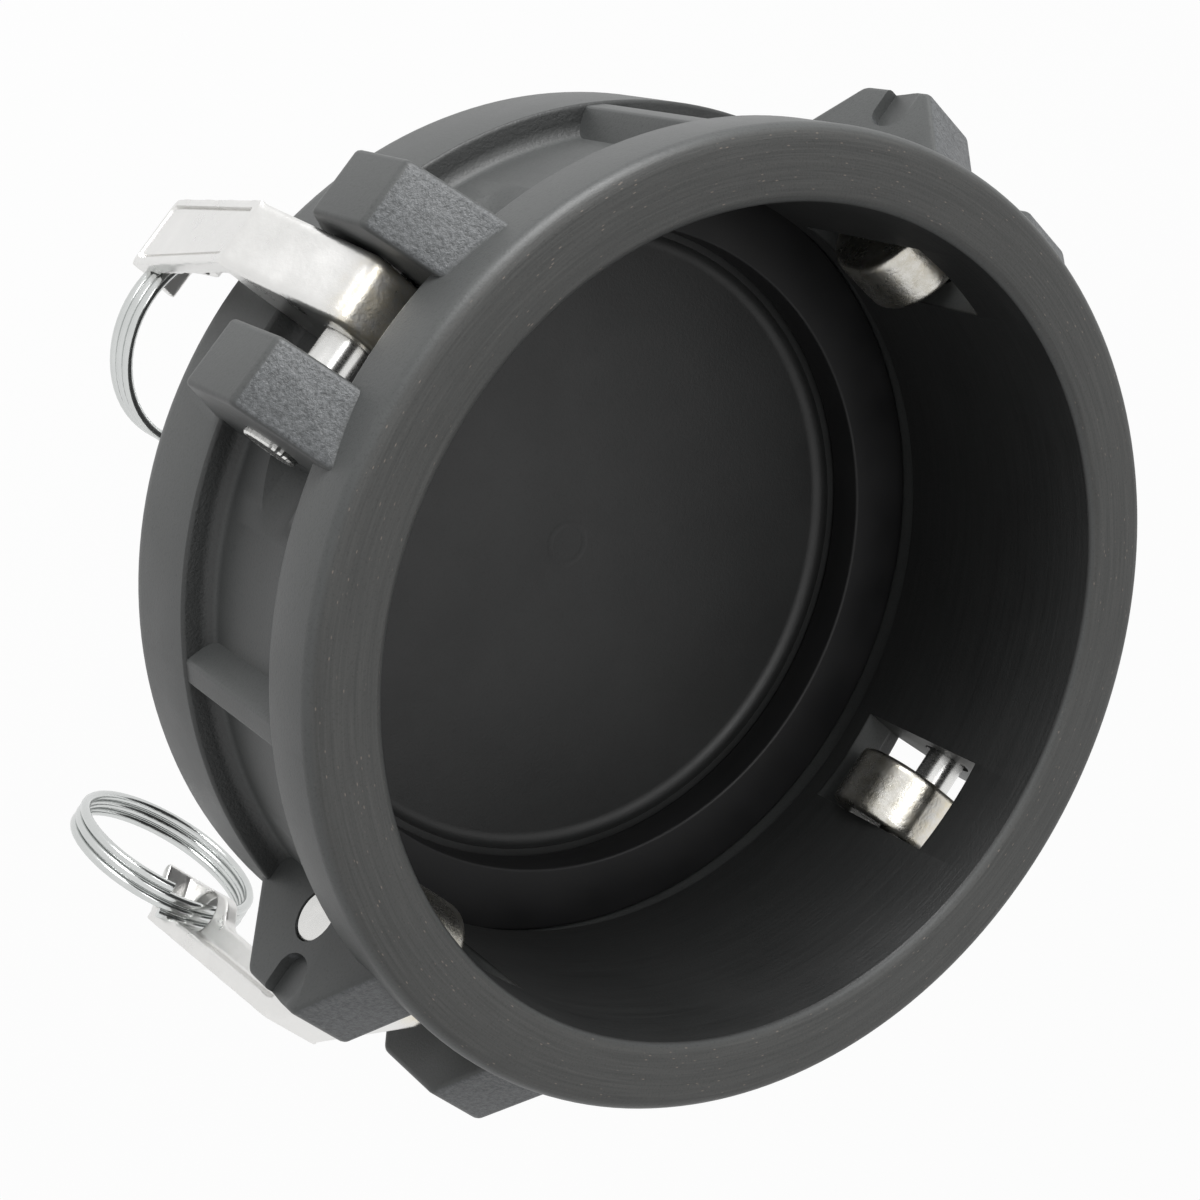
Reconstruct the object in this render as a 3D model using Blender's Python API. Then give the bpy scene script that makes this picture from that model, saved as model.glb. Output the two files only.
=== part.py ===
"""Camlock dust cap for a 4 inch adapter: a moulded cup with four cam arms, their pins and pull rings."""

import bpy
import bmesh
from math import acos, atan2, cos, hypot, pi, radians, sin, sqrt
from mathutils import Matrix, Vector

MM = 0.001

# Every length below is in millimetres, every angle in degrees.
# The origin lies on the axis in the plane where the adapter's end meets the gasket, and +Z points out of the mouth.

# Cup
BORE_DIAMETER = 120.4
MOUTH_CHAMFER = 1.1
WALL_THICKNESS = 5.8
RIM_HEIGHT = 4.7             # rim's edge beyond the wall
RIM_THICKNESS = 12.1
RIM_ROUND = 2.3
BACK_LAND_HEIGHT = 4.6       # back land beyond the wall
BACK_SHOULDER_HEIGHT = 6.2   # above the gasket face
END_THICKNESS = 6.4
END_ROUND = 6.0
CHANNEL_FILLET = 1.2

# Gasket and its groove
GASKET_OVERLAP = 1.7         # outer edge beyond the bore
GASKET_WIDTH = 10.3
GASKET_THICKNESS = 6.35
GASKET_EDGE_ROUND = 0.5
GROOVE_LIP_HEIGHT = 4.2      # the groove's roof above the gasket face
FLOOR_LEDGE = 1.0            # seat showing inside the gasket
FLOOR_RECESS_DEPTH = 2.1

# Ribs between the arms
RIB_CREST_WIDTH = 3.4
RIB_ROOT_WIDTH = 8.0
RIB_SET_BACK = 0.4           # crest below the two lands

# Ears that carry each arm
EAR_GAP = 17.0
EAR_THICKNESS = 10.7
EAR_HEIGHT = 13.2            # flat top beyond the wall
EAR_TOP_LENGTH = 14.8
EAR_TOP_AHEAD = 1.1          # middle of the flat top in front of the pin
EAR_SLOPE = 45.0
EAR_CORNER_ROUND = 2.4
NOTCH_WIDTH = 7.8
NOTCH_REACH = 6.8            # from the ear's top inwards
NOTCH_DEPTH = 2.4
NOTCH_BEHIND_TOP_FRONT = 5.2
NOTCHED_ARMS = ("a", "c")

# Window through the wall for the cam
WINDOW_LEDGE = 0.3           # the ears stand back from the window's sides
WINDOW_FRONT_INSET = 0.7     # behind the rim
WINDOW_FRONT_GAP = 6.4       # past the cam head
WINDOW_BACK_GAP = 2.2
WINDOW_SET_BACK = 1.5        # in front of the back shoulder

# Pivot pin
PIN_DIAMETER = 6.35
PIN_END_DIAMETER = 7.9
PIN_HEAD_LENGTH = 9.0
PIN_TAIL_LENGTH = 3.0
PIN_OUTSIDE_WALL = 1.0
PIN_END_CHAMFER = 0.4
DRILL_CLEARANCE_DIAMETER = 12.6
DRILL_SPOT_DEPTH = 0.05

# Cam arm, drawn about its pin: x away from the cup's axis, z towards the mouth
HEAD_WIDTH = 10.4
CAM_REACH = 11.3
HEAD_FRONT = 6.7
LOBE_START = 105.0           # the lobe's arc, from its front round to its back
LOBE_END = 250.0
HEEL_OUT = 5.6               # front corner of the outer face
HEEL_ROUND = 2.6
KNEE_OUT = 16.3              # bend between head and handle
KNEE_DOWN = 13.7
TIP_OUT = 14.4
TIP_DOWN = 56.7
TIP_WIDTH = 12.4
PLATE_THICKNESS = 2.6
WEB_THICKNESS = 2.4
WEB_DEPTH = 6.2              # from the outer face
END_WALL_THICKNESS = 2.3
END_WALL_DEPTH = 9.0
END_WALL_SPLAY = 4.6         # how far the wall's free edge stands beyond the tip
RING_HOLE_FROM_TIP = 5.9
RING_HOLE_DEPTH = 5.5        # from the outer face
RING_HOLE_GAP = 2.2          # across the hole, round the ring's turns side by side
LUG_WALL = 0.9               # around the ring hole
LUG_RUN_OUT = 3.6            # from the lug down to the web
PANEL_BORDER = 1.5
PANEL_DEPTH = 0.6

# Pull ring
RING_OUTER_DIAMETER = 32.6
RING_WIRE = 1.45
RING_TURNS = 3.0
RING_TURN_GAP = 0.16

# Fits
SEAT_GAP = 0.3
HEAD_GAP = 0.15
PIVOT_GAP = 0.3
ARM_SIDE_GAP = 0.35

# How the arms and rings lie: fold outwards from the nominal locked angle, side shift and cock on the pin,
# then the ring's swing, lean and twist
ARM_LAYOUT = {
    "a": dict(turn=0.0, fold=-6.0, shift=0.0, cock=0.0, swing=6.0, lean=0.0, twist=0.0),
    "b": dict(turn=90.0, fold=-6.6, shift=-2.6, cock=2.0, swing=66.0, lean=34.0, twist=-1.0),
    "c": dict(turn=180.0, fold=5.3, shift=-2.8, cock=0.0, swing=14.0, lean=-14.0, twist=10.0),
    "d": dict(turn=270.0, fold=0.0, shift=-2.5, cock=0.0, swing=0.0, lean=0.0, twist=0.0),
}

ROUND_STEPS = 76
PIN_STEPS = 24
HOLE_STEPS = 20
RING_STEPS = 22

# Derived levels and radii
BORE_R = BORE_DIAMETER / 2
WALL_R = BORE_R + WALL_THICKNESS
RIM_R = WALL_R + RIM_HEIGHT
LAND_R = WALL_R + BACK_LAND_HEIGHT
GASKET_OUTER_R = BORE_R + GASKET_OVERLAP
GASKET_INNER_R = GASKET_OUTER_R - GASKET_WIDTH
GROOVE_R = GASKET_OUTER_R + SEAT_GAP
PIN_R = WALL_R + PIN_OUTSIDE_WALL
WINDOW_BACK = BACK_SHOULDER_HEIGHT + WINDOW_SET_BACK
PIN_Z = WINDOW_BACK + WINDOW_BACK_GAP + CAM_REACH
WINDOW_FRONT = PIN_Z + HEAD_FRONT + WINDOW_FRONT_GAP
RIM_BACK = WINDOW_FRONT + WINDOW_FRONT_INSET
RIM_FACE = RIM_BACK + RIM_THICKNESS
SEAT_Z = -GASKET_THICKNESS - SEAT_GAP
FLOOR_Z = SEAT_Z - FLOOR_RECESS_DEPTH
END_Z = FLOOR_Z - END_THICKNESS
EAR_INNER = EAR_GAP / 2
EAR_OUTER = EAR_INNER + EAR_THICKNESS
EAR_TOP = WALL_R + EAR_HEIGHT
EAR_TOP_FRONT = PIN_Z + EAR_TOP_AHEAD + EAR_TOP_LENGTH / 2
EAR_TOP_BACK = EAR_TOP_FRONT - EAR_TOP_LENGTH
RING_PITCH = RING_WIRE + RING_TURN_GAP
RING_HOLE_R = (RING_TURNS * RING_PITCH + RING_HOLE_GAP) / 2


def clear_scene():
    for obj in list(bpy.data.objects):
        bpy.data.objects.remove(obj, do_unlink=True)


def material(name, colour, roughness, metallic):
    mat = bpy.data.materials.new(name)
    mat.use_nodes = True
    shader = mat.node_tree.nodes["Principled BSDF"]
    shader.inputs["Base Color"].default_value = (*colour, 1.0)
    shader.inputs["Roughness"].default_value = roughness
    shader.inputs["Metallic"].default_value = metallic
    mat.diffuse_color = (*colour, 1.0)
    return mat


def new_object(name, mesh, parent=None):
    obj = bpy.data.objects.new(name, mesh)
    bpy.context.scene.collection.objects.link(obj)
    obj.parent = parent
    return obj


def mesh_from(bm, name):
    bmesh.ops.recalc_face_normals(bm, faces=bm.faces)
    mesh = bpy.data.meshes.new(name)
    bm.to_mesh(mesh)
    bm.free()
    return mesh


def smooth_mesh(mesh, angle=35.0):
    mesh.shade_smooth()
    mesh.set_sharp_from_angle(angle=radians(angle))


def arc(centre, radius, start, end, steps):
    """Points on an arc, angles in degrees, both ends included."""
    cx, cz = centre
    turns = [radians(start + (end - start) * i / steps) for i in range(steps + 1)]
    return [(cx + radius * cos(t), cz + radius * sin(t)) for t in turns]


def rounded(points, radii, steps=3):
    """The closed outline with the corners named in radii (index: radius) turned into arcs."""
    out = []
    count = len(points)
    for i, (x, z) in enumerate(points):
        radius = radii.get(i, 0.0)
        if not radius:
            out.append((x, z))
            continue
        here = Vector((x, z))
        before = (Vector(points[i - 1]) - here).normalized()
        after = (Vector(points[(i + 1) % count]) - here).normalized()
        half = acos(max(-1.0, min(1.0, before.dot(after)))) / 2
        centre = here + (before + after).normalized() * (radius / sin(half))
        first = here + before * (radius / (sin(half) / cos(half)))
        last = here + after * (radius / (sin(half) / cos(half)))
        a0 = atan2(first.y - centre.y, first.x - centre.x)
        a1 = atan2(last.y - centre.y, last.x - centre.x)
        sweep = (a1 - a0 + pi) % (2 * pi) - pi
        for k in range(steps + 1):
            a = a0 + sweep * k / steps
            out.append((centre.x + radius * cos(a), centre.y + radius * sin(a)))
    return out


def turned(name, profile, steps, closed=False):
    """A profile of (radius, z) points spun about Z. An open profile starts and ends on the axis."""
    bm = bmesh.new()
    verts = [bm.verts.new((r * MM, 0.0, z * MM)) for r, z in profile]
    pairs = list(zip(verts, verts[1:])) + ([(verts[-1], verts[0])] if closed else [])
    edges = [bm.edges.new(pair) for pair in pairs]
    bmesh.ops.spin(bm, geom=verts + edges, cent=(0, 0, 0), axis=(0, 0, 1), angle=2 * pi, steps=steps)
    bmesh.ops.remove_doubles(bm, verts=bm.verts, dist=1e-6)
    return mesh_from(bm, name)


def prism(bm, outline, low, high, matrix=None):
    """An outline of (x, z) points extruded along Y from low to high, added to bm."""
    base = [bm.verts.new((x * MM, low * MM, z * MM)) for x, z in outline]
    face = bm.faces.new(base)
    made = bmesh.ops.extrude_face_region(bm, geom=[face])["geom"]
    top = [v for v in made if isinstance(v, bmesh.types.BMVert)]
    bmesh.ops.translate(bm, verts=top, vec=(0.0, (high - low) * MM, 0.0))
    if matrix is not None:
        bmesh.ops.transform(bm, matrix=matrix, verts=base + top)
    return base + top


def rod(bm, radius, low, high, steps, x=0.0, z=0.0, matrix=None):
    """A cylinder along Y, added to bm."""
    outline = [(x + px, z + pz) for px, pz in arc((0.0, 0.0), radius, 0.0, 360.0, steps)[:-1]]
    return prism(bm, outline, low, high, matrix)


def quarter_turns(keys=tuple(ARM_LAYOUT)):
    return [Matrix.Rotation(radians(ARM_LAYOUT[key]["turn"]), 4, "Z") for key in keys]


def apply_boolean(obj, mesh, operation):
    """Joins or cuts with a helper mesh and keeps the result in the object's own mesh."""
    helper = new_object("helper", mesh)
    helper.hide_render = True
    helper.display_type = "WIRE"
    step = obj.modifiers.new(operation.title(), "BOOLEAN")
    step.operation = operation
    step.solver = "EXACT"
    step.object = helper
    graph = bpy.context.evaluated_depsgraph_get()
    result = bpy.data.meshes.new_from_object(obj.evaluated_get(graph))
    obj.modifiers.clear()
    obj.data = result
    bpy.data.objects.remove(helper, do_unlink=True)


def cup_profile():
    """Half section of the cup, from the middle of the closed end out, up and back in to the floor."""
    land = arc((LAND_R - END_ROUND, END_Z + END_ROUND), END_ROUND, -90.0, 0.0, 5)
    shoulder = arc((WALL_R + CHANNEL_FILLET, BACK_SHOULDER_HEIGHT + CHANNEL_FILLET), CHANNEL_FILLET, 270.0, 180.0, 2)
    under_rim = arc((WALL_R + CHANNEL_FILLET, RIM_BACK - CHANNEL_FILLET), CHANNEL_FILLET, 180.0, 90.0, 2)
    rim = arc((RIM_R - RIM_ROUND, RIM_FACE - RIM_ROUND), RIM_ROUND, 0.0, 90.0, 4)
    recess_r = GASKET_INNER_R - FLOOR_LEDGE
    recess = arc((recess_r - FLOOR_RECESS_DEPTH, SEAT_Z), FLOOR_RECESS_DEPTH, 0.0, -90.0, 4)
    return (
        [(0.0, END_Z)] + land
        + [(LAND_R, BACK_SHOULDER_HEIGHT)] + shoulder + under_rim
        + [(RIM_R, RIM_BACK)] + rim
        + [(BORE_R + MOUTH_CHAMFER, RIM_FACE), (BORE_R, RIM_FACE - MOUTH_CHAMFER), (BORE_R, GROOVE_LIP_HEIGHT)]
        + [(GROOVE_R, GROOVE_LIP_HEIGHT), (GROOVE_R, SEAT_Z)]
        + recess + [(0.0, FLOOR_Z)]
    )


def ear_outline():
    """Side view of one ear: a flat top with two slopes that run out on the rim and on the back land."""
    root = (sqrt(WALL_R ** 2 - EAR_OUTER ** 2) + sqrt(GROOVE_R ** 2 - EAR_INNER ** 2)) / 2
    foot = min(sqrt(RIM_R ** 2 - EAR_OUTER ** 2), sqrt(LAND_R ** 2 - EAR_OUTER ** 2)) - 1.0
    run = (EAR_TOP - foot) / (sin(radians(EAR_SLOPE)) / cos(radians(EAR_SLOPE)))
    points = [
        (root, EAR_TOP_BACK - run), (foot, EAR_TOP_BACK - run), (EAR_TOP, EAR_TOP_BACK),
        (EAR_TOP, EAR_TOP_FRONT), (foot, EAR_TOP_FRONT + run), (root, EAR_TOP_FRONT + run),
    ]
    return rounded(points, {2: EAR_CORNER_ROUND, 3: EAR_CORNER_ROUND})


def rib_outline():
    """Plan of one rib as (tangent, radius): a trapezium from inside the wall to its crest."""
    crest = min(RIM_R, LAND_R) - RIB_SET_BACK
    root = sqrt(WALL_R ** 2 - (RIB_ROOT_WIDTH / 2) ** 2) - 0.6
    return [(-RIB_ROOT_WIDTH / 2, root), (RIB_ROOT_WIDTH / 2, root),
            (RIB_CREST_WIDTH / 2, crest), (-RIB_CREST_WIDTH / 2, crest)]


def ears_and_ribs():
    bm = bmesh.new()
    outline = ear_outline()
    overlap = 1.0
    for turn in quarter_turns():
        prism(bm, outline, EAR_INNER, EAR_OUTER, turn)
        prism(bm, outline, -EAR_OUTER, -EAR_INNER, turn)
        base = [bm.verts.new((r * MM, t * MM, (BACK_SHOULDER_HEIGHT - overlap) * MM)) for t, r in rib_outline()]
        face = bm.faces.new(base)
        made = bmesh.ops.extrude_face_region(bm, geom=[face])["geom"]
        top = [v for v in made if isinstance(v, bmesh.types.BMVert)]
        height = RIM_BACK - BACK_SHOULDER_HEIGHT + 2 * overlap
        bmesh.ops.translate(bm, verts=top, vec=(0.0, 0.0, height * MM))
        bmesh.ops.transform(bm, matrix=turn @ Matrix.Rotation(pi / 4, 4, "Z"), verts=base + top)
    return mesh_from(bm, "ears_and_ribs")


def windows():
    """Openings through the wall between each pair of ears."""
    bm = bmesh.new()
    half = EAR_INNER - WINDOW_LEDGE
    inner, outer = BORE_R - 8.0, WALL_R + 6.0
    outline = [(inner, WINDOW_BACK), (outer, WINDOW_BACK), (outer, WINDOW_FRONT), (inner, WINDOW_FRONT)]
    for turn in quarter_turns():
        prism(bm, outline, -half, half, turn)
    return mesh_from(bm, "windows")


def pin_bores():
    """A stepped cutter along each pin: the bore through both ears, and the drill's run beside them."""
    bm = bmesh.new()
    bore_r = PIN_END_DIAMETER / 2 + HEAD_GAP
    drill_r = DRILL_CLEARANCE_DIAMETER / 2
    inner_end = EAR_OUTER - DRILL_SPOT_DEPTH
    far_end = sqrt(WALL_R ** 2 - (PIN_R - drill_r) ** 2) + 6.0
    steps = [(0.0, -far_end), (drill_r, -far_end), (drill_r, -inner_end), (bore_r, -inner_end),
             (bore_r, inner_end), (drill_r, inner_end), (drill_r, far_end), (0.0, far_end)]
    for turn in quarter_turns():
        mesh = turned("bore", steps, PIN_STEPS)
        place = turn @ Matrix.Translation((PIN_R * MM, 0.0, PIN_Z * MM)) @ Matrix.Rotation(pi / 2, 4, "X")
        mesh.transform(place)
        bm.from_mesh(mesh)
    return mesh_from(bm, "pin_bores")


def notches():
    """Round-bottomed scoops in the outer side of each ear, open at its top."""
    bm = bmesh.new()
    radius = NOTCH_WIDTH / 2
    x = EAR_TOP - NOTCH_REACH + radius
    z = EAR_TOP_FRONT - NOTCH_BEHIND_TOP_FRONT
    outline = arc((x, z), radius, 90.0, 270.0, 8) + [(EAR_TOP + 2.0, z - radius), (EAR_TOP + 2.0, z + radius)]
    for turn in quarter_turns(NOTCHED_ARMS):
        prism(bm, outline, EAR_OUTER - NOTCH_DEPTH, EAR_OUTER + 2.0, turn)
        prism(bm, outline, -EAR_OUTER - 2.0, -EAR_OUTER + NOTCH_DEPTH, turn)
    return mesh_from(bm, "notches")


def make_body(mat):
    body = new_object("body", turned("body", cup_profile(), ROUND_STEPS))
    apply_boolean(body, ears_and_ribs(), "UNION")
    apply_boolean(body, windows(), "DIFFERENCE")
    apply_boolean(body, pin_bores(), "DIFFERENCE")
    apply_boolean(body, notches(), "DIFFERENCE")
    body.data.materials.clear()
    body.data.materials.append(mat)
    smooth_mesh(body.data)
    return body


def make_gasket(mat):
    outer, inner = GASKET_OUTER_R, GASKET_INNER_R
    c = GASKET_EDGE_ROUND
    profile = [(outer - c, -GASKET_THICKNESS), (outer, c - GASKET_THICKNESS), (outer, -c), (outer - c, 0.0),
               (inner + c, 0.0), (inner, -c), (inner, c - GASKET_THICKNESS), (inner + c, -GASKET_THICKNESS)]
    mesh = turned("gasket", profile, ROUND_STEPS, closed=True)
    mesh.materials.append(mat)
    smooth_mesh(mesh)
    return new_object("gasket", mesh)


def pin_mesh(mat):
    """Pivot pin along Y: a knurled head end, the shank and the upset tail, both ends flush with the ears."""
    shank, end, c = PIN_DIAMETER / 2, PIN_END_DIAMETER / 2, PIN_END_CHAMFER
    head_end = EAR_OUTER - DRILL_SPOT_DEPTH
    profile = [(0.0, -head_end), (end - c, -head_end), (end, c - head_end), (end, PIN_TAIL_LENGTH - head_end),
               (shank, PIN_TAIL_LENGTH - head_end), (shank, head_end - PIN_HEAD_LENGTH),
               (end, head_end - PIN_HEAD_LENGTH), (end, head_end - c), (end - c, head_end), (0.0, head_end)]
    mesh = turned("pin", profile, PIN_STEPS)
    mesh.transform(Matrix.Rotation(-pi / 2, 4, "X"))
    mesh.materials.append(mat)
    smooth_mesh(mesh)
    return mesh


def handle_frame():
    """Knee and tip of the outer face, the unit vector down the handle and the one into it."""
    knee, tip = Vector((KNEE_OUT, -KNEE_DOWN)), Vector((TIP_OUT, -TIP_DOWN))
    along = (tip - knee).normalized()
    return knee, tip, along, Vector((along.y, -along.x))


def head_outline():
    """Cam head in side view: flat front, round lobe reaching into the bore, and the sloped outer face."""
    knee, _, along, inward = handle_frame()
    lobe_r = (CAM_REACH + HEAD_FRONT) / 2
    lobe = arc((lobe_r - CAM_REACH, HEAD_FRONT - lobe_r), lobe_r, LOBE_START, LOBE_END, 9)
    back = knee + inward * WEB_DEPTH + along * 2.0
    under = knee + along * 2.0 + inward * 0.4
    points = [(HEEL_OUT, HEAD_FRONT)] + lobe + [tuple(back), tuple(under), tuple(knee)]
    return rounded(points, {0: HEEL_ROUND, len(points) - 1: 1.2})


def plate_mesh():
    """Handle plate: a tapering slab whose outer face carries a sunk panel with a raised border."""
    knee, tip, along, inward = handle_frame()
    length = (tip - knee).length
    bm = bmesh.new()
    half_knee, half_tip = HEAD_WIDTH / 2, TIP_WIDTH / 2
    outline = [(-half_knee, 0.0), (half_knee, 0.0), (half_tip, length), (-half_tip, length)]
    base = [bm.verts.new((0.0, w * MM, -s * MM)) for w, s in rounded(outline, {2: 1.6, 3: 1.6})]
    top = bm.faces.new(base)
    made = bmesh.ops.extrude_face_region(bm, geom=[top])["geom"]
    moved = [v for v in made if isinstance(v, bmesh.types.BMVert)]
    bmesh.ops.translate(bm, verts=moved, vec=(-PLATE_THICKNESS * MM, 0.0, 0.0))
    bmesh.ops.recalc_face_normals(bm, faces=bm.faces)
    outer = max(bm.faces, key=lambda f: f.calc_center_median().x)
    bmesh.ops.inset_region(bm, faces=[outer], thickness=PANEL_BORDER * MM, use_even_offset=True)
    bmesh.ops.inset_region(bm, faces=[outer], thickness=PANEL_DEPTH * 0.5 * MM, depth=-PANEL_DEPTH * MM,
                           use_even_offset=True)
    lean = atan2(along.x, -along.y)
    place = Matrix.Translation((knee.x * MM, 0.0, knee.y * MM)) @ Matrix.Rotation(-lean, 4, "Y")
    bmesh.ops.transform(bm, matrix=place, verts=bm.verts)
    return mesh_from(bm, "plate")


def point_on(along_from_knee, depth):
    """A point of the handle in side view, by its distance from the knee and its depth under the outer face."""
    knee, _, along, inward = handle_frame()
    return tuple(knee + along * along_from_knee + inward * depth)


def ring_hole():
    knee, tip, _, _ = handle_frame()
    return point_on((tip - knee).length - RING_HOLE_FROM_TIP, RING_HOLE_DEPTH)


def web_outline():
    """Web under the plate, rising to a lug about the ring hole and running on level to the end wall."""
    knee, tip, _, _ = handle_frame()
    length = (tip - knee).length
    hole_at = length - RING_HOLE_FROM_TIP
    sink, lug = PLATE_THICKNESS * 0.5, RING_HOLE_DEPTH + RING_HOLE_R + LUG_WALL
    foot = hole_at - RING_HOLE_R - LUG_WALL - LUG_RUN_OUT
    points = [
        point_on(-1.0, sink), point_on(-1.0, WEB_DEPTH - 0.6), point_on(foot, WEB_DEPTH),
        point_on(foot + LUG_RUN_OUT, lug), point_on(length + END_WALL_SPLAY - 1.0, END_WALL_DEPTH - 0.3),
        point_on(length - 1.0, sink),
    ]
    return rounded(points, {2: 3.0, 3: 3.6})


def end_wall_outline():
    """Cross wall at the tip, standing slightly outwards from the handle's end."""
    knee, tip, _, _ = handle_frame()
    length = (tip - knee).length
    sink = PLATE_THICKNESS * 0.5
    start, reach = length - END_WALL_THICKNESS, length + END_WALL_SPLAY - 0.3
    points = [point_on(start, sink), point_on(reach - END_WALL_THICKNESS + 0.4, END_WALL_DEPTH),
              point_on(reach, END_WALL_DEPTH), point_on(length - 0.3, sink)]
    return rounded(points, {1: 0.7, 2: 1.1})


def arm_mesh(mat):
    """Cast cam arm about its pin axis, which is local Y."""
    bm = bmesh.new()
    prism(bm, head_outline(), -HEAD_WIDTH / 2, HEAD_WIDTH / 2)
    arm = new_object("arm", mesh_from(bm, "arm"))
    apply_boolean(arm, plate_mesh(), "UNION")
    for outline, width in ((web_outline(), WEB_THICKNESS), (end_wall_outline(), TIP_WIDTH - 0.6)):
        bm = bmesh.new()
        prism(bm, outline, -width / 2, width / 2)
        apply_boolean(arm, mesh_from(bm, "joined"), "UNION")
    bm = bmesh.new()
    rod(bm, PIN_DIAMETER / 2 + PIVOT_GAP, -HEAD_WIDTH, HEAD_WIDTH, PIN_STEPS)
    hole_x, hole_z = ring_hole()
    rod(bm, RING_HOLE_R, -HEAD_WIDTH, HEAD_WIDTH, HOLE_STEPS, hole_x, hole_z)
    apply_boolean(arm, mesh_from(bm, "holes"), "DIFFERENCE")
    mesh = arm.data
    bpy.data.objects.remove(arm, do_unlink=True)
    mesh.materials.clear()
    mesh.materials.append(mat)
    smooth_mesh(mesh)
    return mesh


def ring_mesh(mat):
    """Split ring: touching turns of wire. It hangs from the local origin, its wire there along Y."""
    mean = (RING_OUTER_DIAMETER - RING_WIRE) / 2
    steps = int(RING_TURNS * RING_STEPS)
    curve = bpy.data.curves.new("ring_wire", "CURVE")
    curve.dimensions = "3D"
    curve.bevel_depth = RING_WIRE / 2 * MM
    curve.bevel_resolution = 1
    curve.use_fill_caps = True
    spline = curve.splines.new("POLY")
    spline.points.add(steps)
    for i in range(steps + 1):
        a = 2 * pi * RING_TURNS * (i / steps) - pi / 2
        x = RING_PITCH * RING_TURNS * (i / steps - 0.5)
        spline.points[i].co = (x * MM, mean * cos(a) * MM, (mean * sin(a) - mean) * MM, 1.0)
    wire = new_object("wire", curve)
    graph = bpy.context.evaluated_depsgraph_get()
    mesh = bpy.data.meshes.new_from_object(wire.evaluated_get(graph))
    bpy.data.objects.remove(wire, do_unlink=True)
    bm = bmesh.new()
    bm.from_mesh(mesh)
    bmesh.ops.remove_doubles(bm, verts=bm.verts, dist=1e-6)
    mesh = mesh_from(bm, "ring")
    mesh.materials.append(mat)
    smooth_mesh(mesh, 50.0)
    return mesh


def place_arm(key, spec, arm, pin, ring, body):
    """One arm with its pin and ring. The empty sits on the pin axis, its Y along the pin."""
    hinge = new_object("hinge_" + key, None, body)
    hinge.empty_display_size = 0.01
    turn = Matrix.Rotation(radians(spec["turn"]), 4, "Z")
    hinge.matrix_local = turn @ Matrix.Translation((PIN_R * MM, 0.0, PIN_Z * MM))
    new_object("pin_" + key, pin, hinge)
    lever = new_object("arm_" + key, arm, hinge)
    limit = EAR_INNER - HEAD_WIDTH / 2 - ARM_SIDE_GAP
    shift = Matrix.Translation((0.0, max(-limit, min(limit, spec["shift"])) * MM, 0.0))
    fold = Matrix.Rotation(-radians(spec["fold"]), 4, "Y")
    lever.matrix_local = shift @ fold @ Matrix.Rotation(radians(spec["cock"]), 4, "X")
    hole_x, hole_z = ring_hole()
    pull = new_object("ring_" + key, ring, lever)
    swing = Matrix.Rotation(radians(spec["swing"]), 4, "Y")
    lean = Matrix.Rotation(radians(spec["lean"]), 4, "X")
    twist = Matrix.Rotation(radians(spec["twist"]), 4, "Z")
    pull.matrix_local = Matrix.Translation((hole_x * MM, 0.0, hole_z * MM)) @ swing @ lean @ twist


def main():
    clear_scene()
    black = material("moulded_polypropylene", (0.020, 0.021, 0.021), 0.45, 0.0)
    rubber = material("gasket_rubber", (0.008, 0.008, 0.008), 0.60, 0.0)
    cast = material("cast_stainless", (0.72, 0.71, 0.68), 0.30, 1.0)
    bright = material("pin_stainless", (0.70, 0.70, 0.69), 0.22, 1.0)
    wire = material("ring_stainless", (0.66, 0.67, 0.66), 0.15, 1.0)
    body = make_body(black)
    make_gasket(rubber)
    arm, pin, ring = arm_mesh(cast), pin_mesh(bright), ring_mesh(wire)
    for key, spec in ARM_LAYOUT.items():
        place_arm(key, spec, arm, pin, ring, body)


main()
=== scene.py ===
"""Camlock dust cap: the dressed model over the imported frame, with its camera, floor and light."""

import bpy
import bmesh
from math import acos, atan2, cos, pi, radians, sin, sqrt, tan
from mathutils import Matrix, Vector


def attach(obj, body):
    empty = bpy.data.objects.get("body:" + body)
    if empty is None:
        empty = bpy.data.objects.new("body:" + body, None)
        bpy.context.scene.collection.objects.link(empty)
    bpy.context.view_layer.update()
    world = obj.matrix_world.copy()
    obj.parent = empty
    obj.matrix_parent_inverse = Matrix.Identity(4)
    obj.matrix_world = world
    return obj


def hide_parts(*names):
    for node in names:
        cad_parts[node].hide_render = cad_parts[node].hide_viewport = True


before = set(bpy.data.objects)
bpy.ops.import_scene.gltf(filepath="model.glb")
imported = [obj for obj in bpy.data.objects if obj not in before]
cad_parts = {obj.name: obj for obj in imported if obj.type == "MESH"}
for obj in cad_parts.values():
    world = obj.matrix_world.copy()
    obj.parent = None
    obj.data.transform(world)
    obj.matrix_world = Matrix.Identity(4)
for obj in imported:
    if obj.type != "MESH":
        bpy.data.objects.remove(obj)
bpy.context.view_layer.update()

MM = 0.001

# Cup, in millimetres and degrees
BORE_R = 60.2
MOUTH_CHAMFER = 1.1
MOUTH_EASE = 0.25
MOUTH_EASE_PAST = 0.05
MOUTH_EASE_DIP = 0.12
WALL_R = 66.0
RIM_R = 70.7
RIM_ROUND = 2.3
RIM_BACK_ROUND = 0.7
LAND_R = 70.6
LAND_EDGE_ROUND = 0.6
BACK_SHOULDER_HEIGHT = 6.2
END_THICKNESS = 6.4
END_ROUND = 6.0
CHANNEL_FILLET = 1.2
SHOULDER_FILLET = 2.2
GROOVE_LIP_HEIGHT = 4.2
GROOVE_LIP_ROUND = 0.35
FLOOR_LEDGE = 1.0
FLOOR_LEDGE_FLAT = 0.4
FLOOR_RECESS_DEPTH = 2.1
GATE_R = 3.2
RIB_CREST_WIDTH = 3.4
RIB_CREST_ROUND = 0.7
RIB_ROOT_WIDTH = 8.0
RIB_SET_BACK = 0.4
EAR_INNER = 8.5
EAR_OUTER = 19.2
EAR_TOP = 79.2
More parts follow.
